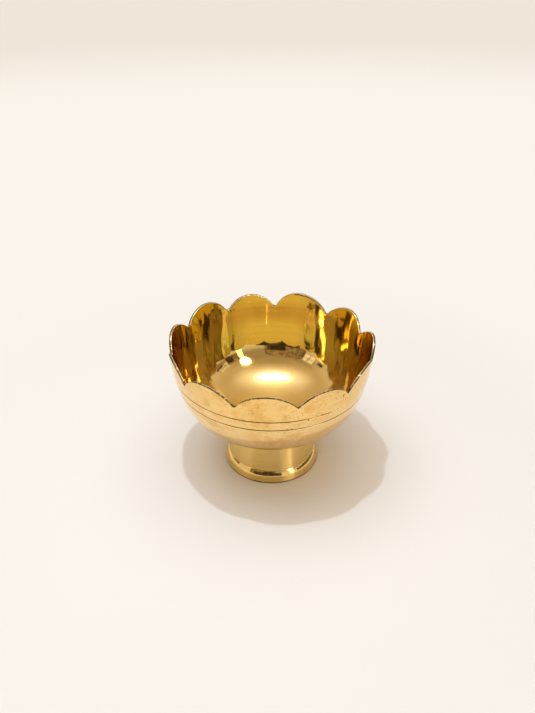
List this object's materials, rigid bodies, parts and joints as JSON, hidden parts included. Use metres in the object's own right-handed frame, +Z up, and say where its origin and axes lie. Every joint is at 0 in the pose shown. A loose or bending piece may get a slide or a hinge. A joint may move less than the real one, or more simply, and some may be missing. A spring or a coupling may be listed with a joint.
{
  "type": "offering bowl",
  "caption": "Footed brass offering bowl with a rim of scalloped petals, scribed lines round its side and a hollow turned foot brazed beneath it.",
  "frame": {"origin": "centre of the foot's resting ring, on the floor", "axes": "+Z up along the turning axis, with the middle of one petal towards -Y"},
  "size_m": [0.1, 0.0996, 0.0721],
  "materials": {
    "bowl_brass": "polished, with fine turning lines outside and a mirror finish inside",
    "foot_brass": "polished, with fine turning lines",
    "braze_brass": "satin, as wiped after brazing"
  },
  "bodies": {
    "root": {"bowl": "bowl_brass", "foot": "foot_brass", "braze_fillet": "braze_brass"}
  },
  "joints": []
}
